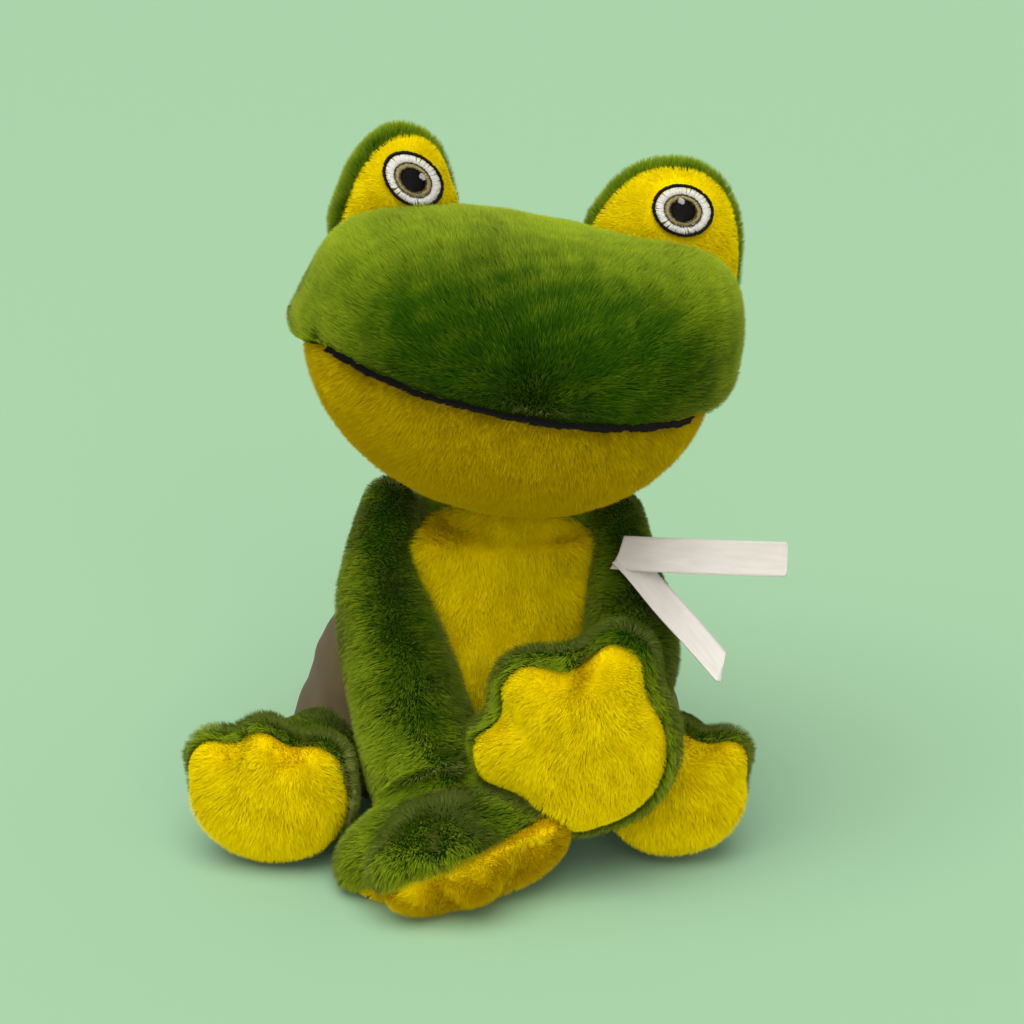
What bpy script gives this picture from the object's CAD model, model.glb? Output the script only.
"""A sitting plush frog: green and yellow pile cloth, embroidered eyes and mouth, and a blank label."""

import math
from functools import partial

import bmesh
import bpy
import numpy as np
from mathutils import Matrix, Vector
from mathutils.bvhtree import BVHTree


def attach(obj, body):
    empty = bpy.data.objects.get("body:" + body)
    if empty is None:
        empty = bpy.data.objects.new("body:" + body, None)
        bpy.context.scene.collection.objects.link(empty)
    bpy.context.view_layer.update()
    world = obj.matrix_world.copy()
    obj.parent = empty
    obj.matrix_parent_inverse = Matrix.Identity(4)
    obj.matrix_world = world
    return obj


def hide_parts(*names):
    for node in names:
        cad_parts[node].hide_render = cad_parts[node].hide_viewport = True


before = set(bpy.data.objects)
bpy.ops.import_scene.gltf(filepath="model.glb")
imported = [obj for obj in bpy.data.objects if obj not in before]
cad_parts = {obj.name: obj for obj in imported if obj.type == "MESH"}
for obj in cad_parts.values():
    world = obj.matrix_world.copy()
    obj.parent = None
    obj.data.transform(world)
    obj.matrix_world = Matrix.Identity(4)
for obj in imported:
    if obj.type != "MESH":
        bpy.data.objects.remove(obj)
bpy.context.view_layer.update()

MM = 0.001
UP = np.array([0.0, 0.0, 1.0])

# All lengths are in millimetres and all angles in degrees. Left and right are the frog's own.
# Torso
SEAT_FLAT = 50  # radius of the flat that it sits on
HIP_RADIUS = 72
HIP_HEIGHT = 25
WAIST_RADIUS = 58
WAIST_HEIGHT = 66
CHEST_RADIUS = 44
CHEST_HEIGHT = 92
SHOULDER_RADIUS = 38
SHOULDER_HEIGHT = 108
TORSO_TOP = 124
TORSO_DEPTH_SHARE = 0.84  # depth over width
SEAT_BACK = 18  # the seat lies that far behind the neck
TORSO_ASIDE = -3
SEAT_ASIDE = -6
CHEST_SQUARENESS = 0.25  # how much squarer than an oval the chest is in plan
CHEST_SPAN = 22  # the height over which it is squarer
SIDE_TUCK = 9  # the left arm presses the torso's side in that deep
SIDE_TUCK_HEIGHT = 46
SIDE_TUCK_SPAN = 20
SIDE_TUCK_FROM = 18  # it starts that far to the left of the middle
SIDE_TUCK_FULL = 58
TORSO_FLOOR = 0.7  # the torso's form ends that high, and its cloth lies outside it
RUMP_TOP = 74
FOLD_LENGTH = 26
FOLD_HEIGHT = 1.3
NECK = np.array([1.0, 1.0, 108.0])
NECK_SKIN = 31
THREAD_RADIUS = 0.9
THREAD_RISE = 18.5  # the closing thread's height over the neck's centre
THREAD_OUT = 0.7  # how far it lies outside the neck's backing
THREAD_PITCH = 2.0
BELLY_HALF_WIDTH = 36
BELLY_WIDEST = 94
BELLY_TOP = 120
BELLY_TIP = 24
BELLY_BACK = 12

# Head
HEAD_CENTRE = np.array([0.0, -26.0, 170.0])
HEAD_ROLL = 11
HEAD_PITCH = -1
HEAD_YAW = 3
HEAD_SMILE = 6  # how far the head's sides are bent up
HEAD_HALF_WIDTH = 77
CROWN = dict(rise=4, right=77, left=75.5, front=70, back=60, height=45, fullness=2.4)
JAW = dict(rise=0, right=72, left=68.5, front=64, back=56, height=50, fullness=2.1)
PLAN_FULLNESS = 2.1
JAW_REACH_BACK = 22
CROWN_PARTING = 6  # the crown's pile parts this far to the left of the middle
CROWN_CORNER = 66  # the crown's upper left corner is full there
CROWN_CORNER_SPAN = 26
CROWN_CORNER_RISE = 10
CROWN_DIP = 5  # the crown's right end hangs this far below the mouth's line
CROWN_OVERHANG = 3.5  # and this far out, under a hollow
CROWN_HOLLOW = 3
MOUTH_RIGHT = 64
MOUTH_LEFT = 57
MOUTH_BARE = 0.6  # beside the mouth's line the pile is shortest up to here
MOUTH_CLEAR = 4.0  # and full from here on
MOUTH_STITCH_HALF = 1.15
MOUTH_STITCH_PITCH = 0.5

# Eye lobes and eyes
LOBE_SPACING = 46
LOBE_SHIFT = -1
LOBE_BACK = 24
LOBE_FOOT = 18
LOBE_HALF_WIDTH = 27.5
LOBE_LEFT_MORE = 3.5
LOBE_HEIGHT = 53
LOBE_HALF_DEPTH = 18
LOBE_LIFT = 3
LOBE_FULLNESS = 2.3
LOBE_FRONT = 6
LOBE_FLARE = 3.5  # the right lobe is this much wider at its foot, on its inner side
LOBE_TUCK = 14  # a lobe's foot goes this far inwards, into the head
LOBE_SEAM_SLANT = 0.28  # the right lobe's seam lies further back on its inner side
EYE_SPACING = 46
EYE_SHIFT = 2
EYE_TILT = 17  # the long axis of the stitched oval falls this much towards the left side
EYE_SQUASH = 0.75  # the oval's height over its width
EYE_HEIGHT = 55
EYE_RADIUS = 11
EYE_WHITE = 9.8
EYE_IRIS = 6.7
EYE_PUPIL = 4.7
GLINT = 1.3
GLINT_ASIDE = 2.2
GLINT_UP = 3.6
RING_PITCH = 0.46  # the distance between the stitches of a ring, at its outside

# Limbs
FINGER_SPREAD = 20
FINGER_BLUNTNESS = 3
CREASE_DEPTH = 0.35  # how much of its thickness a paw loses between two fingers
CREASE_WIDTH = 13
CREASE_FINGER = 5  # a crease is shallower beside a finger that is shorter than this
PAW_ROUNDNESS = 0.75
LIMB_TAPER = 1.25
LIMB_GAP = 0.6
LIMB_FLOOR = 0.2
SEARCH_REACH = 40
SEWN_ROOM = 12  # round its joint a limb is sewn into the torso that far past its ball

# A limb starts as a ball, runs over via to the wrist, and ends in a paw about its centre. The paw is an oval
# of width and length whose inner side looks along palm. fingers are angles round it from up, with how far
# each reaches past the oval. The seam of back and palm lies seam away from the centre and looks along
# seam_facing. ease rounds the wrist off. thinned and tuck flatten and shift the paw's far side under the
# other hand.
PLAIN = dict(thinned=0, tuck=(0, 0, 0))
ARM = dict(PLAIN, panels=("sleeve", "palm"), ball=11)
LEG = dict(PLAIN, panels=("upper", "sole"), ball=19, end=20, up=(0, 0, 1), seam=2, ease=26)
LIMBS = {
    "right_arm": dict(
        ARM,
        pivot=(-43, -6, 107),
        start=(-43.5, -4, 112),
        via=[(-46, -22, 89), (-40, -43, 68)],
        wrist=(-27, -70, 33),
        end=21,
        centre=(-20, -88, 19),
        palm=(0.3, -0.2, -0.93),
        up=(0.34, 0.94, 0),
        fingers=[(82, 5), (146, 6), (200, 6), (262, 6)],
        width=37,
        length=27,
        half=19,
        seam=1.5,
        seam_facing=(0.4, -0.24, -0.89),
        ease=32,
        thinned=0.5,
        tuck=(0, 12, -7),
    ),
    "left_arm": dict(
        ARM,
        pivot=(38, -8, 101),
        start=(37, -7, 108),
        via=[(40, -26, 88), (41, -44, 72)],
        wrist=(35, -58, 60),
        end=18,
        centre=(23.5, -77, 53),
        palm=(-0.2, -0.97, 0.08),
        up=(0, 0, 1),
        fingers=[(-23, 11), (46, 4.5), (104, 9), (172, 2)],
        width=33.5,
        length=33,
        half=15,
        seam=5.5,
        seam_facing=(-0.2, -0.97, 0.02),
        ease=16,
    ),
    "right_leg": dict(
        LEG,
        pivot=(-67, -27, 24),
        start=(-67, -27, 24),
        via=[(-71, -34, 24)],
        wrist=(-76, -42, 24),
        centre=(-83, -59, 25),
        palm=(-0.2, -0.95, 0.17),
        fingers=[(58, 6), (8, 4), (-48, 5)],
        width=30.5,
        length=23.5,
        half=16,
        seam_facing=(-0.21, -1, -0.035),
    ),
    "left_leg": dict(
        LEG,
        pivot=(56, -30, 24),
        start=(56, -30, 24),
        via=[(57, -36, 24)],
        wrist=(57, -42, 24),
        centre=(56, -57, 25),
        palm=(0.12, -0.95, 0.17),
        fingers=[(46, 4), (-2, 4), (-54, 7)],
        width=27.5,
        length=22.5,
        half=15,
        seam_facing=(0.13, -1, -0.03),
    ),
}
for limb_sizes in LIMBS.values():
    for key in ("pivot", "start", "wrist", "centre"):
        limb_sizes[key] = np.array(limb_sizes[key], float)
RESTS_ON = {"left_arm": ["right_arm"]}

# Label: each leaf's route, the directions of its width at both ends, and how slanting its ends are
LABEL_WIDTH = 12
LEAF_CORNER = 1.6
LEAF_CURL = 0.8
LEAF_ROWS = 60
LEAF_COLUMNS = 13
UPPER_LEAF = [(37, -35.8, 104.8), (52, -44, 106.7), (70, -47, 107), (94, -48, 106.5)]
UPPER_LEAF_ACROSS = ((0, 0.6, 0.8), (0, 0.2, 0.98))
UPPER_LEAF_SLANT = (0.35, 0)
LOWER_LEAF = [(39, -35.5, 102.8), (43.3, -40, 99.3), (51, -50, 92.7), (61, -64, 85.4), (70.4, -74, 77.2)]
LOWER_LEAF_ACROSS = ((0.53, 0.81, 0.23), (0.53, 0.81, 0.23))
LOWER_LEAF_SLANT = (0, -0.7)

# Cloth
CLOTH = 1.6  # the backing cloth's thickness
RUMP_OUT = 0.6  # how far the bare rump cloth lies outside its form
PILE_LENGTH = 4.3
PILE_ROOM = 2.6  # how far the backing lies inside its form, under the pile
LIMB_PILE_ROOM = 1.8
LOBE_PILE_ROOM = 1.2
PILE_AT_SEAM = 8  # from that far on, the pile beside a palm's seam has its full length
PILE_AT_JOINT = 24
SHORTEST_SHARE = 0.05  # strands shorter than this share of the full length are left out
ROOT_SUNK = 0.4  # how far a strand starts within its cloth
SWIRL_SPAN = 22  # the pile leans in swirls about this far apart
FINE_SWIRL_SPAN = 7
TILT_SPAN = 15
TUFT_SPAN = 2.2  # strands' tips draw together in tufts about this far apart
SHADE_SPAN = 9
STRANDS_A_PIECE = 65000
GLEAM = 0.35  # how much brighter than the rest a few strands are
GLEAM_SHARE = 0.06
ABOVE_FLOOR = 0.1  # no strand reaches lower than this
SEAM_DEPTH = 1.6
SEAM_WIDTH = 3.5
TIP_ROUNDS = 14  # how often a filling is evened out, so that it has no thin tips
VOXEL = 1.5  # the grain at which forms are joined
TORSO_VOXEL = 1.8
FILLING_VOXEL = 3.5

# Stage
FLOOR_SEEN = (0.329, 0.530, 0.334)
FLOOR_BOUNCED = (0.5, 0.5, 0.45)
FLOOR_REACH = 12000
FLOOR_LIT = (0.423, 0.679, 0.418)  # how the lit floor looks, for what the camera sees beyond its edge
DAYLIGHT = (1.0, 0.99, 0.96)
VIEW_ELEVATION = 18
VIEW_DISTANCE = 857
VIEW_TARGET = 108


# Small vector helpers
def unit(v):
    v = np.asarray(v, float)
    return v / np.maximum(np.linalg.norm(v, axis=-1, keepdims=True), 1e-12)


def dot(a, b):
    return np.sum(a * b, axis=-1, keepdims=True)


def smooth_step(low, high, x):
    t = np.clip((x - low) / (high - low), 0, 1)
    return t * t * (3 - 2 * t)


def waves(points, scale, seed):
    """A smooth random field from about -1 to 1, whose bumps are about scale apart."""
    count = 10
    rng = np.random.default_rng(seed)
    turns = unit(rng.normal(size=(count, 3))) * (2 * math.pi / scale) * rng.uniform(0.6, 1.4, (count, 1))
    phase = rng.uniform(0, 2 * math.pi, count)
    return np.sin(points @ turns.T + phase).sum(axis=1) / math.sqrt(count)


def wave_vectors(points, scale, seed):
    return np.stack([waves(points, scale, seed + k) for k in range(3)], axis=1)


def catmull(points, shares):
    """Points at shares of a Catmull-Rom curve's run."""
    points = np.asarray(points, float)
    at = np.asarray(shares, float) * (len(points) - 1)
    first = np.minimum(at.astype(int), len(points) - 2)
    t = (at - first)[:, None]
    p0 = points[np.maximum(first - 1, 0)]
    p1 = points[first]
    p2 = points[first + 1]
    p3 = points[np.minimum(first + 2, len(points) - 1)]
    v0 = (p2 - p0) / 2
    v1 = (p3 - p1) / 2
    return (2 * p1 - 2 * p2 + v0 + v1) * t**3 + (-3 * p1 + 3 * p2 - 2 * v0 - v1) * t**2 + v0 * t + p1


def placed(name, data):
    """Puts a mesh, lamp or camera into the scene."""
    thing = bpy.data.objects.new(name, data)
    bpy.context.scene.collection.objects.link(thing)
    return thing


# Meshes as arrays: points in millimetres, and triangles
def new_object(name, points, faces, uv=None):
    mesh = bpy.data.meshes.new(name)
    faces = np.asarray(faces, np.int32)
    mesh.vertices.add(len(points))
    mesh.vertices.foreach_set("co", (np.asarray(points, float) * MM).ravel())
    mesh.loops.add(faces.size)
    mesh.loops.foreach_set("vertex_index", faces.ravel())
    mesh.polygons.add(len(faces))
    mesh.polygons.foreach_set("loop_start", np.arange(0, faces.size, 3, dtype=np.int32))
    mesh.polygons.foreach_set("use_smooth", np.ones(len(faces), bool))
    if uv is not None:
        layer = mesh.uv_layers.new(name="OFBake")
        layer.data.foreach_set("uv", uv[faces.ravel()].ravel())
    mesh.update(calc_edges=True)
    mesh.validate()
    return placed(name, mesh)


def normals_of(points, faces):
    a, b, c = (points[faces[:, k]] for k in range(3))
    face = np.cross(b - a, c - a)
    total = np.zeros_like(points)
    for k in range(3):
        for axis in range(3):
            total[:, axis] += np.bincount(faces[:, k], face[:, axis], len(points))
    return unit(total)


def neighbours_mean(points, faces):
    """For each point of a closed skin, the middle of the points that it has an edge with."""
    edges = np.concatenate([faces[:, [0, 1]], faces[:, [1, 2]], faces[:, [2, 0]]])
    count = np.bincount(edges[:, 0], minlength=len(points))[:, None]
    total = np.stack([np.bincount(edges[:, 0], points[edges[:, 1], k], len(points)) for k in range(3)], 1)
    return total / np.maximum(count, 1)


def drawn_together(points, faces, share):
    """Moves points that share of the way to their neighbours' middle."""
    return points + share * (neighbours_mean(points, faces) - points)


def smoothed(points, faces, rounds):
    """Evens a mesh out without letting it shrink."""
    for _ in range(rounds):
        points = drawn_together(points, faces, 0.5)
        points = drawn_together(points, faces, -0.52)
    return points


def ringed(rings, first, last):
    """A closed skin over rings of points, from a first pole to a last one."""
    around = len(rings[0])
    points = np.concatenate([[first], *rings, [last]])
    end = len(points) - 1
    i = np.arange(around)
    j = (i + 1) % around
    faces = [np.stack([np.zeros_like(i), 1 + i, 1 + j], 1)]
    for r in range(len(rings) - 1):
        low = 1 + r * around
        high = low + around
        faces.append(np.stack([low + i, high + i, low + j], 1))
        faces.append(np.stack([low + j, high + i, high + j], 1))
    low = 1 + (len(rings) - 1) * around
    faces.append(np.stack([np.full_like(i, end), low + j, low + i], 1))
    return points, np.concatenate(faces)


def sphere_directions(detail):
    """Unit directions and triangles of a finely divided ball."""
    made = bmesh.new()
    bmesh.ops.create_icosphere(made, subdivisions=detail, radius=1)
    made.verts.ensure_lookup_table()
    points = np.array([v.co[:] for v in made.verts])
    faces = np.array([[v.index for v in f.verts] for f in made.faces])
    made.free()
    return unit(points), faces


def arrays_of(thing):
    """An object's final mesh as points in millimetres and triangles."""
    seen = thing.evaluated_get(bpy.context.evaluated_depsgraph_get())
    mesh = seen.to_mesh()
    mesh.calc_loop_triangles()
    points = np.empty(len(mesh.vertices) * 3)
    mesh.vertices.foreach_get("co", points)
    faces = np.empty(len(mesh.loop_triangles) * 3, np.int32)
    mesh.loop_triangles.foreach_get("vertices", faces)
    seen.to_mesh_clear()
    return points.reshape(-1, 3) / MM, faces.reshape(-1, 3)


def fused(parts, voxel=VOXEL, rounds=6):
    """One smooth closed skin round several closed forms."""
    offset = 0
    all_points, all_faces = [], []
    for points, faces in parts:
        all_points.append(points)
        all_faces.append(faces + offset)
        offset += len(points)
    thing = new_object("fusing", np.concatenate(all_points), np.concatenate(all_faces))
    modifier = thing.modifiers.new("fuse", "REMESH")
    modifier.mode = "VOXEL"
    modifier.voxel_size = voxel * MM
    points, faces = arrays_of(thing)
    mesh = thing.data
    bpy.data.objects.remove(thing)
    bpy.data.meshes.remove(mesh)
    return smoothed(points, faces, rounds), faces


def clipped(points, faces, side, *extras):
    """The part of a skin where side is above 0, with new points where its triangles are cut."""
    inside = side > 0
    count = inside[faces].sum(axis=1)
    kept = [tuple(f) for f in faces[count == 3]]
    made, cache = [], {}

    def cut(a, b):
        key = (a, b) if a < b else (b, a)
        if key not in cache:
            cache[key] = len(points) + len(made)
            made.append((key[0], key[1], side[key[0]] / (side[key[0]] - side[key[1]])))
        return cache[key]

    for face in faces[count == 1]:
        a, b, c = (int(v) for v in np.roll(face, -int(np.argmax(inside[face]))))
        kept.append((a, cut(a, b), cut(a, c)))
    for face in faces[count == 2]:
        a, b, c = (int(v) for v in np.roll(face, -int(np.argmin(inside[face]))))
        kept += [(cut(a, b), b, c), (cut(a, b), c, cut(a, c))]
    faces = np.array(kept)
    used, back = np.unique(faces, return_inverse=True)
    results = []
    for values in (points, *extras):
        if made:
            first, second, share = (np.array(column) for column in zip(*made))
            share = share.reshape((-1,) + (1,) * (values.ndim - 1))
            added = values[first] + share * (values[second] - values[first])
            values = np.concatenate([values, added])
        results.append(values[used])
    return results[0], back.reshape(-1, 3), *results[1:]


def shell(points, faces, normals):
    """A closed cloth of one thickness under an open skin."""
    count = len(points)
    inner = points - normals * CLOTH
    edges = {}
    for a, b, c in faces.tolist():
        for edge in ((a, b), (b, c), (c, a)):
            edges[edge] = True
    rim = [(b, a) for a, b in edges if (b, a) not in edges]
    sides = []
    for b, a in rim:
        sides += [(b, a, a + count), (b, a + count, b + count)]
    all_faces = np.concatenate([faces, faces[:, ::-1] + count, np.array(sides, int).reshape(-1, 3)])
    return np.concatenate([points, inner]), all_faces


# The forms
def turn_matrix():
    x, y, z = (math.radians(a) for a in (-HEAD_PITCH, HEAD_ROLL, HEAD_YAW))
    about_x = np.array([[1, 0, 0], [0, math.cos(x), -math.sin(x)], [0, math.sin(x), math.cos(x)]])
    about_y = np.array([[math.cos(y), 0, math.sin(y)], [0, 1, 0], [-math.sin(y), 0, math.cos(y)]])
    about_z = np.array([[math.cos(z), -math.sin(z), 0], [math.sin(z), math.cos(z), 0], [0, 0, 1]])
    return about_z @ about_y @ about_x


HEAD_TURN = turn_matrix()


def in_head(local):
    """World places of points in the head's own directions."""
    local = np.array(local, float)
    local[..., 2] += HEAD_SMILE * (local[..., 0] / HEAD_HALF_WIDTH) ** 2
    return local @ HEAD_TURN.T + HEAD_CENTRE


def head_local(points):
    local = (points - HEAD_CENTRE) @ HEAD_TURN
    local[..., 2] -= HEAD_SMILE * (local[..., 0] / HEAD_HALF_WIDTH) ** 2
    return local


def measure(off, fullness, plan):
    """How large a rounded box has to be to reach a place; 1 is its surface."""
    x, y, z = np.abs(off).T
    level = (x**plan + y**plan) ** (fullness / plan)
    return (level + z**fullness) ** (1 / fullness)


def box_halves(places, box):
    """A rounded box's half sizes in the direction of each place."""
    wide = np.where(places[:, 0] < 0, box["right"], box["left"])
    deep = np.where(places[:, 1] < 0, box["front"], box["back"])
    return np.stack([wide, deep, np.full(len(places), box["height"])], 1)


def box_size(local, box):
    off = (local - (0, 0, box["rise"])) / box_halves(local, box)
    return measure(off, box["fullness"], PLAN_FULLNESS)


def box_form(box, detail=6):
    directions, faces = sphere_directions(detail)
    reach = 1 / measure(directions, box["fullness"], PLAN_FULLNESS)[:, None]
    return in_head(directions * reach * box_halves(directions, box) + (0, 0, box["rise"])), faces


def lobe_middle(side):
    return np.array([LOBE_SHIFT + side * LOBE_SPACING, LOBE_BACK, LOBE_FOOT + side * LOBE_LIFT], float)


def lobe_halves(side):
    return np.array([LOBE_HALF_WIDTH + side * LOBE_LEFT_MORE, LOBE_HALF_DEPTH, LOBE_HEIGHT])


def lobe_tuck(outer, height):
    """How far the outer side of a lobe's foot goes inwards."""
    return LOBE_TUCK * np.clip(outer, 0, 1) * (1 - smooth_step(-15, 32, height))


def lobe_form(side, detail=5):
    directions, faces = sphere_directions(detail)
    reach = 1 / measure(directions, LOBE_FULLNESS, LOBE_FULLNESS)[:, None]
    local = directions * reach * lobe_halves(side) + lobe_middle(side)
    if side < 0:
        inner = np.clip(directions[:, 0], 0, 1)
        local[:, 0] += LOBE_FLARE * inner * (1 - smooth_step(28, 56, local[:, 2]))
    local[:, 0] -= side * lobe_tuck(side * directions[:, 0], local[:, 2])
    return in_head(local), faces


def lobe_size(local, side):
    off = (local - lobe_middle(side)) / lobe_halves(side)
    off[:, 0] += side * lobe_tuck(side * off[:, 0] * 1.8, local[:, 2]) / LOBE_HALF_WIDTH
    return measure(off, LOBE_FULLNESS, LOBE_FULLNESS)


def torso_form(rows=70, around=160):
    line = [
        (SEAT_FLAT, 0),
        ((SEAT_FLAT + 3 * HIP_RADIUS) / 4, HIP_HEIGHT / 3),
        (HIP_RADIUS, HIP_HEIGHT),
        ((HIP_RADIUS + WAIST_RADIUS) / 2 + 1.5, (HIP_HEIGHT + WAIST_HEIGHT) / 2),
        (WAIST_RADIUS, WAIST_HEIGHT),
        (CHEST_RADIUS, CHEST_HEIGHT),
        (SHOULDER_RADIUS, SHOULDER_HEIGHT),
        (0, TORSO_TOP),
    ]
    profile = catmull(line, np.linspace(0, 1, rows))[:-1]
    turn = np.arange(around) / around * 2 * math.pi
    rings = []
    for radius, height in profile:
        lean = min(1, max(0, 1 - height / TORSO_TOP)) ** 1.2
        power = 1 - CHEST_SQUARENESS * math.exp(-(((height - CHEST_HEIGHT) / CHEST_SPAN) ** 2))
        wide, deep = (np.sign(v) * np.abs(v) ** power for v in (np.sin(turn), np.cos(turn)))
        x = radius * wide + TORSO_ASIDE + SEAT_ASIDE * lean
        y = radius * deep * TORSO_DEPTH_SHARE + SEAT_BACK * lean
        rings.append(np.stack([x, y, np.full_like(x, height)], 1))
    first = (TORSO_ASIDE + SEAT_ASIDE, SEAT_BACK, 0)
    points, faces = ringed(rings, first, (TORSO_ASIDE, 0, TORSO_TOP))
    return points, faces[:, ::-1]


def side_tucked(points):
    """Draws the torso's left side in where the arm rests on it."""
    x, _, z = points.T
    near = np.exp(-(((z - SIDE_TUCK_HEIGHT) / SIDE_TUCK_SPAN) ** 2))
    tuck = SIDE_TUCK * smooth_step(SIDE_TUCK_FROM, SIDE_TUCK_FULL, x) * near
    return points - np.outer(tuck, (1, 0, 0))


def ball_form(centre, radius, detail=4):
    directions, faces = sphere_directions(detail)
    return directions * radius + centre, faces


def limb_path(limb, shares):
    return catmull([limb["start"], *limb["via"], limb["wrist"]], shares)


def limb_radius(limb, shares):
    return limb["end"] - (limb["end"] - limb["ball"]) * (1 - shares) ** LIMB_TAPER


def sleeve_form(limb, rows=40, around=64):
    shares = np.linspace(0, 1, rows)
    path = limb_path(limb, shares)
    along = unit(np.gradient(path, axis=0))
    side = unit(np.cross(along[rows // 2], UP))
    turn = np.arange(around) / around * 2 * math.pi
    rings = []
    for share, centre, forward in zip(shares, path, along):
        across = unit(side - forward * (side @ forward))
        up = np.cross(across, forward)
        radius = limb_radius(limb, share)
        rings.append(centre + radius * (np.outer(np.cos(turn), across) + np.outer(np.sin(turn), up)))
    return ringed(rings, path[0], path[-1] + along[-1] * limb["end"] / 2)


def paw_axes(limb):
    palm = unit(limb["palm"])
    up = np.array(limb["up"], float)
    up = unit(up - palm * (up @ palm))
    return palm, up, np.cross(palm, up)


def degrees_from(turn, angle):
    return (np.degrees(turn) - angle + 180) % 360 - 180


def paw_outline(limb, turn):
    """How far a paw reaches from its centre, and how much thinner it is between its fingers."""
    reach = 1 / np.hypot(np.sin(turn) / limb["width"], np.cos(turn) / limb["length"])
    for angle, length in limb["fingers"]:
        off = degrees_from(turn, angle)
        reach = reach + length * np.exp(-(np.abs(off / FINGER_SPREAD) ** FINGER_BLUNTNESS))
    crease = 0
    for (angle, length), (next_angle, next_length) in zip(limb["fingers"], limb["fingers"][1:]):
        off = degrees_from(turn, (angle + next_angle) / 2)
        depth = CREASE_DEPTH * min(1, length / CREASE_FINGER, next_length / CREASE_FINGER)
        crease = crease + depth * np.exp(-((off / CREASE_WIDTH) ** 2))
    return reach, crease


def paw_form(limb, rows=44, around=150):
    palm, up, right = paw_axes(limb)
    centre = limb["centre"]
    turn = np.arange(around) / around * 2 * math.pi
    reach, crease = paw_outline(limb, turn)
    rings = []
    for r in range(1, rows):
        slope = (r / rows - 0.5) * math.pi
        spread = math.cos(slope) ** PAW_ROUNDNESS
        aside = reach * spread * np.sin(turn)
        flat = np.outer(aside, right) + np.outer(reach * spread * np.cos(turn), up)
        thin = 1 - limb["thinned"] * smooth_step(0, limb["width"], aside) * (slope > 0)
        thin = thin * (1 - crease * smooth_step(0.4, 0.85, spread))
        rings.append(centre + flat - np.outer(limb["half"] * math.sin(slope) * thin, palm))
    return ringed(rings, centre + palm * limb["half"], centre - palm * limb["half"])


def keep_off(points, tree, chosen):
    """Presses chosen points that lie within another form, or too close to it, flat against it."""
    out = points.copy()
    for i in np.flatnonzero(chosen):
        point = Vector(points[i])
        place, normal, _, _ = tree.find_nearest(point, SEARCH_REACH)
        if place is not None and (point - place).dot(normal) < LIMB_GAP:
            out[i] = np.array(place + normal * LIMB_GAP)
    return out


def tree_of(points, faces):
    return BVHTree.FromPolygons([tuple(p) for p in points], [tuple(f) for f in faces.tolist()])


# Materials
def set_sockets(made, sockets):
    for key, value in sockets.items():
        made.inputs[key.replace("_", " ")].default_value = value


def material(name, **sockets):
    """A new material with its node tree and its shader, whose sockets hold these values."""
    made = bpy.data.materials.new(name)
    made.use_nodes = True
    tree = made.node_tree
    shader = tree.nodes["Principled BSDF"]
    set_sockets(shader, sockets)
    return made, tree, shader


def node(tree, kind, **sockets):
    made = tree.nodes.new(kind)
    set_sockets(made, sockets)
    return made


def ramp(tree, stops):
    made = tree.nodes.new("ShaderNodeValToRGB")
    elements = made.color_ramp.elements
    while len(elements) < len(stops):
        elements.new(0.5)
    for element, (at, colour) in zip(elements, stops):
        element.position = at
        element.color = (*colour, 1)
    return made


def mixed(tree, factor, first, second):
    made = tree.nodes.new("ShaderNodeMix")
    made.data_type = "RGBA"
    tree.links.new(factor, made.inputs["Factor"])
    tree.links.new(first, made.inputs["A"])
    tree.links.new(second, made.inputs["B"])
    return made.outputs["Result"]


def bake_place(tree):
    uv = tree.nodes.new("ShaderNodeUVMap")
    uv.uv_map = "OFBake"
    return uv.outputs["UV"]


def pile_material(name, deep, bright, sheen, sheen_tint, gloss):
    """Pile strands, darker at the root; each has its own tone between a deep and a bright dye."""
    made, tree, shader = material(
        name, Roughness=0.6, Specular_IOR_Level=gloss, Sheen_Weight=sheen, Sheen_Roughness=0.45,
        Sheen_Tint=(*sheen_tint, 1)
    )
    link = tree.links.new
    split = tree.nodes.new("ShaderNodeSeparateXYZ")
    link(bake_place(tree), split.inputs["Vector"])
    ramps = [ramp(tree, list(zip((0.0, 0.5, 1.0), colours))) for colours in (deep, bright)]
    for along in ramps:
        link(split.outputs["Y"], along.inputs["Fac"])
    colours = [along.outputs["Color"] for along in ramps]
    link(mixed(tree, split.outputs["X"], *colours), shader.inputs["Base Color"])
    return made


def noise(tree, place, scale, detail):
    made = node(tree, "ShaderNodeTexNoise", Scale=scale, Detail=detail)
    tree.links.new(place, made.inputs["Vector"])
    return made.outputs["Fac"]


def toned(tree, shader, factor, stops):
    """Colours a surface by a factor."""
    colours = ramp(tree, stops)
    tree.links.new(factor, colours.inputs["Fac"])
    tree.links.new(colours.outputs["Color"], shader.inputs["Base Color"])


def bumped(tree, shader, height, strength, distance):
    raised = node(tree, "ShaderNodeBump", Strength=strength, Distance=distance)
    tree.links.new(height, raised.inputs["Height"])
    tree.links.new(raised.outputs["Normal"], shader.inputs["Normal"])


def cloth_material(name, dark, light, grain, bump, roughness=0.85, sheen=0.2, gloss=0.3):
    """Backing or smooth cloth with a fine knit and uneven tone."""
    made, tree, shader = material(name, Sheen_Weight=sheen, Specular_IOR_Level=gloss)
    place = tree.nodes.new("ShaderNodeTexCoord").outputs["Object"]
    toned(tree, shader, noise(tree, place, 60.0, 3.0), [(0.3, dark), (0.7, light)])
    knit = noise(tree, place, grain, 2.0)
    bumped(tree, shader, knit, bump, 0.0004)
    rough = node(tree, "ShaderNodeMapRange", To_Min=roughness - 0.1, To_Max=roughness + 0.1)
    tree.links.new(knit, rough.inputs["Value"])
    tree.links.new(rough.outputs["Result"], shader.inputs["Roughness"])
    return made


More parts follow.
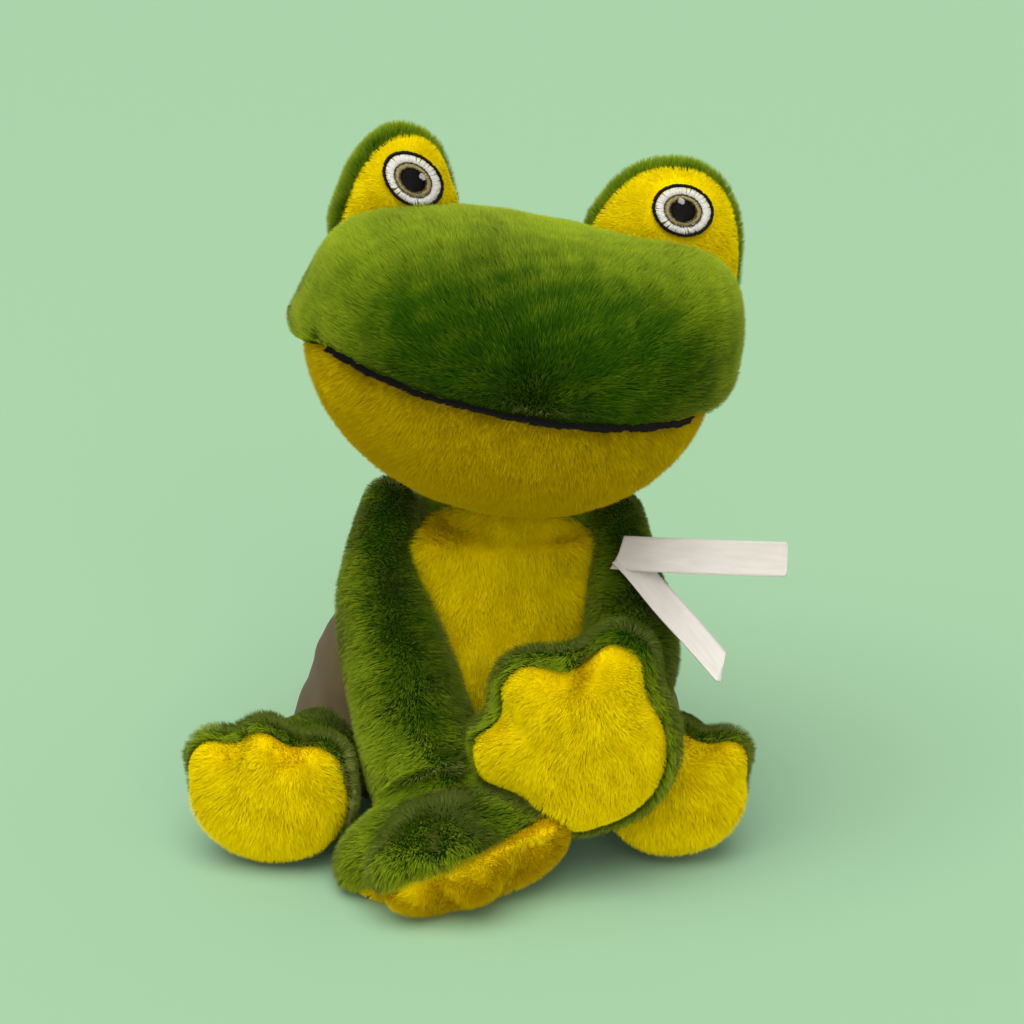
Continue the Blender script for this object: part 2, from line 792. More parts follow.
def thread_material(name, colour, shade, roughness=0.45, gloss=0.4):
    """Satin stitch thread: fine twisted fibres."""
    made, tree, shader = material(name, Roughness=roughness, Specular_IOR_Level=gloss)
    place = tree.nodes.new("ShaderNodeTexCoord").outputs["Object"]
    twist = noise(tree, place, 2500.0, 2.0)
    toned(tree, shader, twist, [(0.35, shade), (0.65, colour)])
    bumped(tree, shader, twist, 0.4, 0.0001)
    return made


GREEN_DEEP = ((0.004, 0.026, 0.0), (0.011, 0.062, 0.0), (0.024, 0.1, 0.0))
GREEN_BRIGHT = ((0.05, 0.10, 0.0), (0.18, 0.27, 0.002), (0.37, 0.47, 0.025))
YELLOW_DEEP = ((0.34, 0.21, 0.0), (0.42, 0.28, 0.0), (0.5, 0.36, 0.0))
YELLOW_BRIGHT = ((1.0, 0.76, 0.0), (1.0, 0.82, 0.0), (1.0, 0.88, 0.0))
TAUPE = ((0.092, 0.067, 0.027), (0.124, 0.092, 0.039))
FIBRE_WHITE = ((0.7, 0.69, 0.65), (0.88, 0.87, 0.84))
PELLET_GREY = ((0.5, 0.47, 0.4), (0.62, 0.6, 0.52))
RIBBON_DARK = (0.74, 0.69, 0.62)
RIBBON_LIGHT = (0.86, 0.81, 0.74)

GREEN_PILE = pile_material("green pile", GREEN_DEEP, GREEN_BRIGHT, 0.7, (0.68, 0.78, 0.18), 0.02)
YELLOW_PILE = pile_material("yellow pile", YELLOW_DEEP, YELLOW_BRIGHT, 0.25, (1.0, 0.85, 0.01), 0.02)
GREEN_CLOTH = cloth_material("green backing", *GREEN_DEEP[:2], 1800.0, 0.8, 0.9, 0.0, 0.02)
YELLOW_CLOTH = cloth_material(
    "yellow backing", YELLOW_DEEP[2], YELLOW_BRIGHT[0], 1800.0, 0.8, 0.9, 0.0, 0.02
)
TAUPE_CLOTH = cloth_material("taupe cloth", *TAUPE, 2600.0, 0.3, 0.7, 0.05, 0.15)
FIBRE = cloth_material("filling fibre", *FIBRE_WHITE, 700.0, 1.0, 0.9)
PELLET_CLOTH = cloth_material("pellet bag cloth", *PELLET_GREY, 1500.0, 0.6)
BLACK_THREAD = thread_material("black thread", (0.006, 0.005, 0.004), (0.001, 0.001, 0.001), 0.5, 0.12)
WHITE_THREAD = thread_material("white thread", (0.82, 0.80, 0.74), (0.6, 0.58, 0.52))
GREY_THREAD = thread_material("grey thread", (0.55, 0.54, 0.5), (0.36, 0.35, 0.32))
GOLD_THREAD = thread_material("gold thread", (0.40, 0.34, 0.15), (0.24, 0.19, 0.07))
BROWN_THREAD = thread_material("brown thread", (0.09, 0.06, 0.025), (0.04, 0.025, 0.01))
GREEN_THREAD = thread_material("closing thread", (0.06, 0.11, 0.006), (0.03, 0.07, 0.003), 0.7, 0.1)

# For each colour of cloth: its backing, its strands and its slot
CLOTHS = {
    "green": (GREEN_CLOTH, GREEN_PILE, "green_pile"),
    "yellow": (YELLOW_CLOTH, YELLOW_PILE, "yellow_pile"),
    "taupe": (TAUPE_CLOTH, None, "taupe_cloth"),
}


def finished(thing, body, finish, slot, *nodes):
    """Gives a piece its material, its body, its slot and the nodes that it stands for."""
    thing.data.materials.append(finish)
    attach(thing, body)
    if nodes:
        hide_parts(*nodes)
    return thing


# Panels and their pile
def panel(name, body, colour, form, seam, nodes, comb, inset=PILE_ROOM, **pile):
    """A sewn panel: the part of a form on the inner side of its seams, drawn in along them, with its pile."""
    points, faces = form
    normals = normals_of(points, faces)
    side = seam(points)
    cloth, strands, slot = CLOTHS[colour]
    points = points - normals * inset
    points, faces, normals, side = clipped(points, faces, side, normals, side)
    drawn = SEAM_DEPTH * np.exp(-((side / SEAM_WIDTH) ** 2))
    points = points - normals * drawn[:, None]
    skin = new_object(name, *shell(points, faces, normals))
    finished(skin, body, cloth, slot, *nodes)
    if strands is not None:
        plant(name + "_pile", body, strands, slot, (points, faces), comb, pile)


def scattered(points, faces, density, rng):
    """Places all over a skin, with the outward direction at each."""
    a, b, c = (points[faces[:, k]] for k in range(3))
    area = np.linalg.norm(np.cross(b - a, c - a), axis=1) / 2
    total = int(area.sum() * density)
    chosen = np.searchsorted(np.cumsum(area) / area.sum(), rng.random(total))
    chosen = np.minimum(chosen, len(faces) - 1)
    u, v = rng.random((2, total, 1))
    over = u + v > 1
    u, v = np.where(over, 1 - u, u), np.where(over, 1 - v, v)
    root = a[chosen] + u * (b - a)[chosen] + v * (c - a)[chosen]
    vertex_normals = normals_of(points, faces)
    na, nb, nc = (vertex_normals[faces[chosen, k]] for k in range(3))
    return root, unit(na + u * (nb - na) + v * (nc - na))


def even(points):
    return np.ones(len(points))


def combed(root, normal, flow, pile, rng):
    """The way each strand leans over the skin, in swirls, with some disorder."""
    swirl, seed = pile["swirl"], pile["seed"]
    flow = unit(flow - normal * dot(flow, normal))
    angle = swirl * waves(root, SWIRL_SPAN, seed + 11)
    angle = angle + swirl * 0.4 * waves(root, FINE_SWIRL_SPAN, seed + 12)
    angle = angle + 0.1 * pile["mess"] * rng.normal(size=len(root))
    return flow * np.cos(angle)[:, None] + np.cross(normal, flow) * np.sin(angle)[:, None]


def strand_corners(root, normal, flow, stretch, pile, rng):
    """Two corners at each strand's root, two at its middle and one at its tip, and how each is lit."""
    mess, width, seed = pile["mess"], pile["width"], pile["seed"]
    total = len(root)
    across = np.cross(normal, flow)
    tilt = pile["lean"] + 6 * waves(root, TILT_SPAN, seed + 13) + 5 * mess * rng.normal(size=total)
    tilt = np.radians(np.clip(tilt, 5, 78))[:, None]
    reach = (pile["length"] * stretch * (0.86 + 0.22 * rng.random(total)))[:, None]
    low = normal * np.cos(tilt * 0.75) + flow * np.sin(tilt * 0.75)
    high = normal * np.cos(tilt * 1.25) + flow * np.sin(tilt * 1.25)
    tuft = wave_vectors(root, TUFT_SPAN, seed + 20) * 0.2 * mess
    start = root - normal * ROOT_SUNK
    middle = root + low * reach * 0.5
    end = middle + high * reach * 0.5 + tuft * stretch[:, None]
    roll = rng.uniform(-0.7, 0.7, (total, 1))
    wide = unit(across * np.cos(roll) + np.cross(low, across) * np.sin(roll)) * width / 2
    corners = np.stack([start - wide, start + wide, middle - wide * 0.9, middle + wide * 0.9, end], 1)
    corners[..., 2] = np.maximum(corners[..., 2], ABOVE_FLOOR)
    facing = unit(normal * 0.8 + np.cross(low, wide) / (width / 2) * 0.6)
    return corners, np.repeat(facing[:, None], 5, axis=1)


def strand_tones(root, normal, pile, rng):
    """Texture places: a strand's tone across, and how far up the strand a corner is."""
    total = len(root)
    shade = 0.5 + 0.1 * waves(root, SHADE_SPAN, pile["seed"] + 31) + 0.13 * rng.normal(size=total)
    shade = shade + GLEAM * (rng.random(total) < GLEAM_SHARE)
    shade = shade + pile["tone"](root, normal)
    uv = np.empty((total, 5, 2))
    uv[:, :, 0] = np.clip(shade, 0.02, 0.98)[:, None] + np.array([-0.01, 0.01, -0.01, 0.01, 0])
    uv[:, :, 1] = np.array([0.0, 0.0, 0.5, 0.5, 1.0])
    return uv


COMMON_PILE = dict(length=PILE_LENGTH, density=6.5, lean=32, width=0.19, keep=even, swirl=0.3, mess=1.0)
STRAND_FACES = np.array([[0, 2, 1], [1, 2, 3], [2, 4, 3]])


def plant(name, body, finish, slot, skin, comb, own):
    """Pile strands on a skin, each a narrow tapered ribbon that leans the way the cloth is combed."""
    pile = dict(COMMON_PILE, **own)
    rng = np.random.default_rng(pile["seed"])
    root, normal = scattered(*skin, pile["density"], rng)
    stretch = pile["keep"](root)
    chosen = stretch > SHORTEST_SHARE
    root, normal, stretch = root[chosen], normal[chosen], stretch[chosen]
    total = len(root)
    flow = combed(root, normal, comb(root), pile, rng)
    corners, facing = strand_corners(root, normal, flow, stretch, pile, rng)
    uv = strand_tones(root, normal, pile, rng)
    order = rng.permutation(total)
    for part, first in enumerate(range(0, total, STRANDS_A_PIECE)):
        some = order[first : first + STRANDS_A_PIECE]
        faces = (np.arange(len(some)) * 5)[:, None, None] + STRAND_FACES
        part_name = f"{name}_{part + 1}" if total > STRANDS_A_PIECE else name
        flat = corners[some].reshape(-1, 3)
        thing = new_object(part_name, flat, faces.reshape(-1, 3), uv[some].reshape(-1, 2))
        thing.data.normals_split_custom_set_from_vertices(facing[some].reshape(-1, 3))
        finished(thing, body, finish, slot)


def towards(vector):
    vector = np.array(vector, float)
    return lambda points: np.tile(vector, (len(points), 1))


def away_from(centre, drift=(0, 0, 0)):
    centre = np.array(centre, float)
    return lambda points: unit(points - centre) + np.array(drift, float)


# The head
def near_mouth(points):
    """Pile is shorter beside the stitched mouth and doesn't cover it."""
    local = head_local(points)
    front = (local[:, 1] < 5) & (local[:, 0] > -MOUTH_RIGHT - 3) & (local[:, 0] < MOUTH_LEFT + 3)
    clear = smooth_step(MOUTH_BARE, MOUTH_CLEAR, np.abs(local[:, 2]))
    return np.where(front, 0.3 + 0.7 * clear, 1.0)


def outside_lobes(points):
    local = head_local(points)
    limit = 0.88 + 0.1 * smooth_step(12, 32, local[:, 2])
    free = (lobe_size(local, -1) > limit) & (lobe_size(local, 1) > limit)
    return near_mouth(points) * free


def crown_comb(points):
    """The crown's pile parts at its middle seam, stands up over the top, and hangs down at the back."""
    local = head_local(points)
    front = 1 - smooth_step(-5, 30, local[:, 1])
    aside = np.tanh((local[:, 0] - CROWN_PARTING) / 22) * front
    back = 0.4 * smooth_step(10, 40, local[:, 2])
    rise = (0.45 + 0.3 * np.tanh((local[:, 2] - 12) / 22)) * front - (1 - front)
    out = np.stack([aside, back, rise], 1)
    return out @ HEAD_TURN.T


def jaw_comb(points):
    local = head_local(points)
    down = np.stack([0.012 * local[:, 0], 0.15 * np.ones(len(local)), -np.ones(len(local))], 1)
    return down @ HEAD_TURN.T


def crown_tone(points, normals):
    """Deep where the pile is seen end on, bright where it lies over the sides and the top."""
    local = head_local(points)
    off = np.hypot((local[:, 0] - 5) / 60, (local[:, 2] - 16) / 27) + smooth_step(-25, 15, local[:, 1])
    return -0.5 + 0.86 * smooth_step(0.65, 1.35, off) + 0.06 * waves(points, 30, 905)


def jaw_tone(points, normals):
    local = head_local(points)
    return -0.4 - 0.3 * smooth_step(5, 40, -local[:, 2])


def palm_tone(points, normals):
    """Brighter where a palm faces the pale floor."""
    return 0.2 + 0.4 * np.clip(-normals[:, 2], 0, 1)


def side_tone(points, normals):
    """Brighter towards the sides of a form than at its front."""
    return 0.18 - 0.5 * np.clip(-normals[:, 1], 0, 1) ** 2


def shaped_crown(form):
    """Hangs the crown's right end out over the jaw and fills its upper left corner."""
    points, faces = form
    local = head_local(points)
    x, y, z = local.T
    over = CROWN_OVERHANG * np.exp(-(((z + 8) / 8) ** 2)) - CROWN_HOLLOW * np.exp(-(((z - 18) / 14) ** 2))
    over = over * smooth_step(34, 74, -x)
    full = CROWN_CORNER_RISE * np.exp(-(((x - CROWN_CORNER) / CROWN_CORNER_SPAN) ** 2))
    full = full * smooth_step(3, 25, z) * (1 - smooth_step(0, 24, y))
    return points - np.outer(over, HEAD_TURN[:, 0]) + np.outer(full, HEAD_TURN[:, 2]), faces


def make_head():
    crown = shaped_crown(box_form(CROWN))
    jaw = box_form(JAW)

    def above_mouth(points):
        local = head_local(points)
        return local[:, 2] + CROWN_DIP * smooth_step(68, 78, -local[:, 0])

    def jaw_front(points):
        local = head_local(points)
        return np.minimum(-local[:, 2], JAW_REACH_BACK - local[:, 1])

    def jaw_behind(points):
        local = head_local(points)
        return np.minimum(-local[:, 2], local[:, 1] - JAW_REACH_BACK)

    panel("head_crown_skin", "head", "green", crown, above_mouth, ["head_crown"], crown_comb,
          keep=outside_lobes, seed=101, tone=crown_tone, length=4.0, lean=28, density=7.5,
          width=0.18, swirl=0.2, mess=0.7)
    panel("head_nape_skin", "head", "green", jaw, jaw_behind, [], crown_comb, seed=121, tone=side_tone)
    panel("head_jaw_skin", "head", "yellow", jaw, jaw_front, ["head_jaw"], jaw_comb,
          keep=near_mouth, seed=141, length=3.6, tone=jaw_tone)


def lobe_seam(side, front):
    def seam(points):
        local = head_local(points)
        edge = LOBE_BACK - LOBE_FRONT - local[:, 1]
        if side < 0:
            edge = edge + LOBE_SEAM_SLANT * (local[:, 0] - lobe_middle(side)[0])
        outside = (box_size(local, CROWN) - 0.95) * 45
        return np.minimum(edge if front else -edge, outside)

    return seam


def eye_place(side, x, z, raise_by=0.0):
    """A place on the front of a lobe, from offsets beside and above the eye's centre."""
    local_x = EYE_SHIFT + side * EYE_SPACING + x
    local_z = EYE_HEIGHT + side * LOBE_LIFT + z
    middle = lobe_middle(side)
    wide, deep, high = lobe_halves(side)
    across = np.abs((local_x - middle[0]) / wide) ** LOBE_FULLNESS
    along = np.abs((local_z - middle[2]) / high) ** LOBE_FULLNESS
    bulge = np.clip(1 - (across + along), 1e-3, 1) ** (1 / LOBE_FULLNESS)
    local_y = middle[1] - bulge * deep - raise_by
    return in_head(np.stack(np.broadcast_arrays(local_x, local_y, local_z), -1))


def make_lobe(name, side):
    form = lobe_form(side)
    centre = eye_place(side, np.array([0.0]), np.array([0.0]))[0]

    def round_eye(points):
        local = head_local(points) - (EYE_SHIFT + side * EYE_SPACING, 0, EYE_HEIGHT + side * LOBE_LIFT)
        turn = math.radians(EYE_TILT)
        x = local[:, 0] * math.cos(turn) - local[:, 2] * math.sin(turn)
        z = (local[:, 0] * math.sin(turn) + local[:, 2] * math.cos(turn)) / EYE_SQUASH
        off = np.hypot(x, z) - EYE_RADIUS
        return np.where(off > -0.2, 0.25 + 0.75 * smooth_step(0, 4, off), 0)

    up = HEAD_TURN @ UP
    panel(f"{name}_eye_lobe_front_skin", "head", "yellow", form, lobe_seam(side, True),
          [f"{name}_eye_lobe_front"], away_from(centre), inset=LOBE_PILE_ROOM, keep=round_eye,
          length=1.9, lean=42, density=7, width=0.2, mess=0.5, tone=lambda p, n: 0.1, seed=200 + side)
    panel(f"{name}_eye_lobe_back_skin", "head", "green", form, lobe_seam(side, False),
          [f"{name}_eye_lobe_back"], towards(up * 0.6 + (0, 0.8, 0)), length=3.6,
          tone=side_tone, seed=220 + side)


# Embroidery
def stitches(name, starts, ends, width, height, outward, rows=6):
    """Satin stitches, each a closed thread that bulges in its middle."""
    around = 6
    total = len(starts)
    along = unit(ends - starts)
    outward = unit(np.broadcast_to(outward, starts.shape))
    side = unit(np.cross(along, outward))
    lift = np.cross(side, along)
    shares = (np.arange(rows) + 0.5) / rows
    turn = np.arange(around) / around * 2 * math.pi
    arch = np.sin(math.pi * shares)
    shape = arch**0.35
    centre = starts[:, None] + (ends - starts)[:, None] * shares[None, :, None]
    centre = centre + lift[:, None] * (arch * height * 0.6)[None, :, None]
    ring = centre[:, :, None] + shape[None, :, None, None] * (
        side[:, None, None] * (np.cos(turn) * width / 2)[None, None, :, None]
        + lift[:, None, None] * (np.sin(turn) * height / 2)[None, None, :, None]
    )
    points = np.concatenate([starts[:, None], ring.reshape(total, -1, 3), ends[:, None]], 1)
    _, faces = ringed([np.zeros((around, 3))] * rows, np.zeros(3), np.zeros(3))
    faces = faces[None] + (np.arange(total) * points.shape[1])[:, None, None]
    return new_object(name, points.reshape(-1, 3), faces.reshape(-1, 3)[:, ::-1])


def on_oval(side, x, z, raise_by):
    """A place in the stitched eye, given as if the eye were round and upright."""
    turn = -math.radians(EYE_TILT)
    z = z * EYE_SQUASH
    turned_x = x * math.cos(turn) - z * math.sin(turn)
    turned_z = x * math.sin(turn) + z * math.cos(turn)
    return eye_place(side, turned_x, turned_z, raise_by)


def ring_stitches(name, side, inner, outer, seed, ragged=0.16, raise_by=0.3, height=0.6, slant=0.0,
                  width=1.25):
    """Stitches across a ring round an eye, each a little uneven; slanted ones lean round the ring."""
    rng = np.random.default_rng(seed)
    count = int(2 * math.pi * outer / RING_PITCH)
    turn = (np.arange(count) + 0.25 * rng.normal(size=count)) / count * 2 * math.pi
    low = inner + rng.normal(size=count) * ragged
    high = outer + rng.normal(size=count) * ragged
    ahead = turn + slant + 0.03 * rng.normal(size=count)
    starts = on_oval(side, low * np.cos(turn), low * np.sin(turn), raise_by)
    ends = on_oval(side, high * np.cos(ahead), high * np.sin(ahead), raise_by)
    return stitches(name, starts, ends, RING_PITCH * width, height, -HEAD_TURN[:, 1])


def disc_stitches(name, side, radius, aside, up, raise_by, tilt, seed, pitch):
    """Parallel stitches over a round field."""
    rng = np.random.default_rng(seed)
    rows = np.arange(-radius + pitch / 2, radius, pitch)
    half = np.sqrt(np.maximum(radius**2 - rows**2, 0.05)) + rng.normal(size=len(rows)) * 0.12
    c, s = math.cos(tilt), math.sin(tilt)
    starts = on_oval(side, aside - half * c - rows * s, up - half * s + rows * c, raise_by)
    ends = on_oval(side, aside + half * c - rows * s, up + half * s + rows * c, raise_by)
    return stitches(name, starts, ends, pitch * 1.4, 0.6, -HEAD_TURN[:, 1], rows=10)


def make_eye(name, side):
    """The embroidered layers of an eye, and a thin brown rim at each edge of its iris."""

    def ring(part, inner, outer, seed, thread, slot, *nodes, **sizes):
        made = ring_stitches(f"{name}_eye_{part}", side, inner, outer, seed, **sizes)
        finished(made, "head", thread, slot, *nodes)

    def disc(part, radius, aside, up, raise_by, tilt, seed, pitch, thread, slot):
        full_name = f"{name}_eye_{part}_stitches"
        made = disc_stitches(full_name, side, radius, aside, up, raise_by, tilt, seed, pitch)
        finished(made, "head", thread, slot, f"{name}_eye_{part}")

    ring("outline_stitches", EYE_WHITE, EYE_RADIUS, 301, BLACK_THREAD, "black_thread",
         f"{name}_eye_outline", ragged=0.07, slant=0.14, width=1.7, height=1.0)
    ring("white_stitches", EYE_IRIS - 0.2, EYE_WHITE + 0.2, 302, WHITE_THREAD, "white_thread",
         f"{name}_eye_white", ragged=0.2, raise_by=0.5, width=1.45)
    ring("iris_stitches", EYE_PUPIL - 0.2, EYE_IRIS, 303, GOLD_THREAD, "gold_thread",
         f"{name}_eye_iris", width=1.5)
    for edge, radius in (("outer", EYE_IRIS), ("inner", EYE_PUPIL + 0.1)):
        ring(f"iris_{edge}_rim", radius - 0.2, radius + 0.2, 306, BROWN_THREAD, "gold_thread",
             ragged=0.12, raise_by=0.7)
    disc("pupil", EYE_PUPIL, 0, 0, 0.45, 0.3, 304, 0.42, BLACK_THREAD, "black_thread")
    disc("glint", GLINT, -side * GLINT_ASIDE, GLINT_UP, 1.0, 0.9, 305, 0.36, GREY_THREAD, "white_thread")


def make_mouth():
    """A corded line of slanting stitches along the seam of crown and jaw."""
    rng = np.random.default_rng(401)
    x = np.arange(-MOUTH_RIGHT, MOUTH_LEFT, MOUTH_STITCH_PITCH)
    lowered = (CROWN["rise"] / CROWN["height"]) ** CROWN["fullness"]
    rest = (1 - lowered) ** (PLAN_FULLNESS / CROWN["fullness"])
    side = np.where(x < 0, CROWN["right"], CROWN["left"])
    y = -(CROWN["front"] - 1.4) * (rest - np.abs(x / side) ** PLAN_FULLNESS) ** (1 / PLAN_FULLNESS)
    places = np.stack([x, y, 0 * x], 1)
    z = 0.4 + 0.25 * waves(places, 14, 402) + 0.12 * waves(places, 5, 403)
    line = np.stack([x, y, z], 1)
    run = unit(np.gradient(line, axis=0))
    out = unit(np.stack([-run[:, 1], run[:, 0], 0 * x], 1)) * -1
    half = MOUTH_STITCH_HALF + 0.2 * waves(places, 9, 404) + 0.12 * rng.normal(size=len(x))
    starts = line + out * 0.2 - run - np.outer(half, UP)
    ends = line + out * 0.2 + run + np.outer(half, UP)
    thing = stitches("mouth_stitches", in_head(starts), in_head(ends), 0.62, 1.5, -out @ HEAD_TURN.T)
    finished(thing, "head", BLACK_THREAD, "black_thread", "mouth_stitching")


# The torso
def in_belly(points):
    """How far a place lies within the belly's shield, seen from the front."""
    x = np.abs(points[:, 0] - TORSO_ASIDE)
    z = points[:, 2]
    low = np.clip((BELLY_WIDEST - z) / (BELLY_WIDEST - BELLY_TIP), 0, 1)
    high = np.clip((z - BELLY_WIDEST) / (BELLY_TOP - BELLY_WIDEST), 0, 1)
    half_width = BELLY_HALF_WIDTH * np.sqrt(np.clip(1 - low**1.9, 0, 1))
    half_width = half_width * np.sqrt(np.clip(1 - high**2.4, 0, 1))
    return np.minimum(half_width - x, BELLY_BACK - points[:, 1])


def wrinkled(points, normals):
    """Slack folds of the smooth cloth between arm and leg."""
    stretched = points * (0.5, 0.4, 1.2) + np.outer(points[:, 0], (0, 0, 0.4))
    fold = waves(stretched, FOLD_LENGTH, 501) + 0.3 * waves(stretched, 15, 502)
    low = smooth_step(3, 14, points[:, 2]) * (1 - smooth_step(RUMP_TOP - 6, RUMP_TOP + 4, points[:, 2]))
    return points + normals * ((1.2 + FOLD_HEIGHT * fold) * low)[:, None]


def make_torso():
    """Covers the torso, and returns its form for the limbs to lie against."""
    points, faces = fused([torso_form(), ball_form(NECK, NECK_SKIN)], TORSO_VOXEL)
    points = side_tucked(points)
    points[:, 2] = np.maximum(points[:, 2], TORSO_FLOOR)
    form = (wrinkled(points, normals_of(points, faces)), faces)
    down = towards((0, 0, -1))

    def rump(p):
        return np.minimum(RUMP_TOP - p[:, 2], -in_belly(p))

    def back(p):
        return np.minimum(p[:, 2] - RUMP_TOP, -in_belly(p))

    panel("belly_skin", "torso", "yellow", form, in_belly, ["belly_panel"], down, seed=521,
          length=3.8, tone=lambda p, n: 0.2)
    panel("torso_back_skin", "torso", "green", form, back, ["torso_back"], down, seed=541,
          tone=side_tone)
    panel("rump_skin", "torso", "taupe", form, rump, ["rump_panel"], None, inset=-RUMP_OUT)
    return form


# Limbs
def beside_path(limb, points):
    """How far points lie beside a limb's middle line, seen from the front, as a share of its radius."""
    shares = np.linspace(0, 1, 30)
    path = limb_path(limb, shares)
    nearest = np.argmin(np.linalg.norm(points[:, None] - path[None], axis=2), axis=1)
    radius = limb_radius(limb, shares[nearest])
    return (points[:, 0] - path[nearest, 0]) / radius


def on_paw(limb, points):
    """1 on a limb's paw and 0 on the rest of it."""
    distance = np.linalg.norm(points - limb["centre"], axis=1)
    return 1 - smooth_step(limb["width"] * 0.8, limb["width"] * 1.2, distance)


def limb_comb(limb):
    """Sideways from a parting along the limb, and outward over the paw."""
    centre = limb["centre"]
    run = unit(centre - limb["pivot"])

    def comb(points):
        share = on_paw(limb, points)[:, None]
        aside = np.tanh((beside_path(limb, points) - 0.3) / 0.5)
        along = run * 0.8 + np.outer(aside, (1, 0, 0))
        return along * (1 - share) + (run * 0.7 + 0.6 * unit(points - centre)) * share

    return comb


def limb_tone(limb):
    """Deep along the parting, where the pile is seen end on, and bright at both sides."""

    def tone(points, normals):
        share = on_paw(limb, points)
        distance = np.linalg.norm(points - limb["centre"], axis=1)
        paw = -0.08 + 0.5 * smooth_step(limb["width"] * 0.35, limb["width"] * 0.95, distance)
        sleeve = -0.26 + 0.62 * smooth_step(0.15, 1.0, np.abs(beside_path(limb, points) - 0.2))
        return sleeve * (1 - share) + paw * share

    return tone


def eased(points, faces, centre, radius):
    """Rounds off a crease near a place."""
    for _ in range(24):
        share = np.exp(-(np.linalg.norm(points - centre, axis=1) / radius) ** 2)[:, None]
        points = drawn_together(points, faces, 0.6 * share)
    return points


def evened(points, faces, chosen):
    """Smooths only the chosen points."""
    for _ in range(8):
        points = drawn_together(points, faces, 0.6 * chosen[:, None])
    return points


def tucked(limb, points):
    """Presses a paw's tip down and back, where the other hand rests on it."""
    aside = (points - limb["centre"]) @ paw_axes(limb)[2]
    return points + np.outer(smooth_step(0, limb["width"], aside), limb["tuck"])


def limb_form(name, limb, trees):
    """A limb's skin, pressed flat against the torso and against the limb that it rests on."""
    root = ball_form(limb["start"], limb["ball"])
    points, faces = fused([sleeve_form(limb), paw_form(limb), root])
    points = tucked(limb, points)
    points = eased(points, faces, limb["wrist"], limb["ease"])
    unsewn = np.linalg.norm(points - limb["pivot"], axis=1) >= limb["ball"] + SEWN_ROOM
    points = keep_off(points, trees["torso"], unsewn)
    for other in RESTS_ON.get(name, []):
        pressed = keep_off(points, trees[other], np.ones(len(points), bool))
        points = evened(pressed, faces, np.linalg.norm(pressed - points, axis=1) > 0)
    points[:, 2] = np.maximum(points[:, 2], LIMB_FLOOR)
    return smoothed(points, faces, 2), faces


def cover_limb(name, limb, form, seed):
    """A limb's outer panel and its palm or sole, with their pile."""
    centre = limb["centre"]
    up = paw_axes(limb)[1]
    facing = unit(limb["seam_facing"])
    reach = 2 * (limb["width"] + limb["half"])
    back_name, palm_name = (f"{name}_{part}" for part in limb["panels"])

    def palm_side(p):
        beyond_seam = (p - centre) @ facing - limb["seam"]
        return np.minimum(beyond_seam, reach - np.linalg.norm(p - centre, axis=1))

    def back_side(p):
        return -palm_side(p)

    def short_at_seam(p):
        return 0.35 + 0.65 * smooth_step(0, PILE_AT_SEAM, palm_side(p))

    def short_at_joint(p):
        distance = np.linalg.norm(p - limb["pivot"], axis=1)
        return 0.55 + 0.45 * smooth_step(limb["ball"], limb["ball"] + PILE_AT_JOINT, distance)

    panel(back_name + "_skin", name, "green", form, back_side, [back_name], limb_comb(limb),
          inset=LIMB_PILE_ROOM, keep=short_at_joint, tone=limb_tone(limb), seed=seed)
    panel(palm_name + "_skin", name, "yellow", form, palm_side, [palm_name],
          away_from(centre + up * 18, -0.4 * up), inset=LIMB_PILE_ROOM, keep=short_at_seam,
          seed=seed + 20, length=4.0, tone=palm_tone)


def make_limbs(torso):
    trees = {"torso": tree_of(*torso)}
    for index, (name, limb) in enumerate(LIMBS.items()):
        form = limb_form(name, limb, trees)
        trees[name] = tree_of(*form)
        cover_limb(name, limb, form, 600 + 40 * index)


# Inside
def stuffing(node_name, body, finish, slot, lumps, room=2.0, shape=None):
    """A filling with the uneven surface of packed fibre, a little smaller than its node."""
    points, faces = fused([arrays_of(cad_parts[node_name])], FILLING_VOXEL, 4)
    for _ in range(TIP_ROUNDS):
        points = neighbours_mean(points, faces)
    step = 0.5
    for _ in range(round(room / step)):
        points = points - normals_of(points, faces) * step
        points = drawn_together(points, faces, 0.5)
    points = points - normals_of(points, faces) * (lumps * (1 + waves(points, 9, 801)))[:, None]
    if shape is not None:
        points = shape(points)
    thing = new_object(node_name + "_inside", points, faces)
    finished(thing, body, finish, slot, node_name)


def make_insides():
    stuffing("head_filling", "head", FIBRE, "fibre", 0.5, 4.5)
    stuffing("torso_filling", "torso", FIBRE, "fibre", 0.5, 3.0, side_tucked)
    stuffing("pellet_bag", "torso", PELLET_CLOTH, "pellet_cloth", 0.6)
    for name in ("right", "left"):
        stuffing(f"{name}_eye_lobe_filling", "head", FIBRE, "fibre", 0.3, 6.5)
    for name, limb in LIMBS.items():
        stuffing(f"{name}_filling", name, FIBRE, "fibre", 0.4, 5.0, partial(tucked, limb))


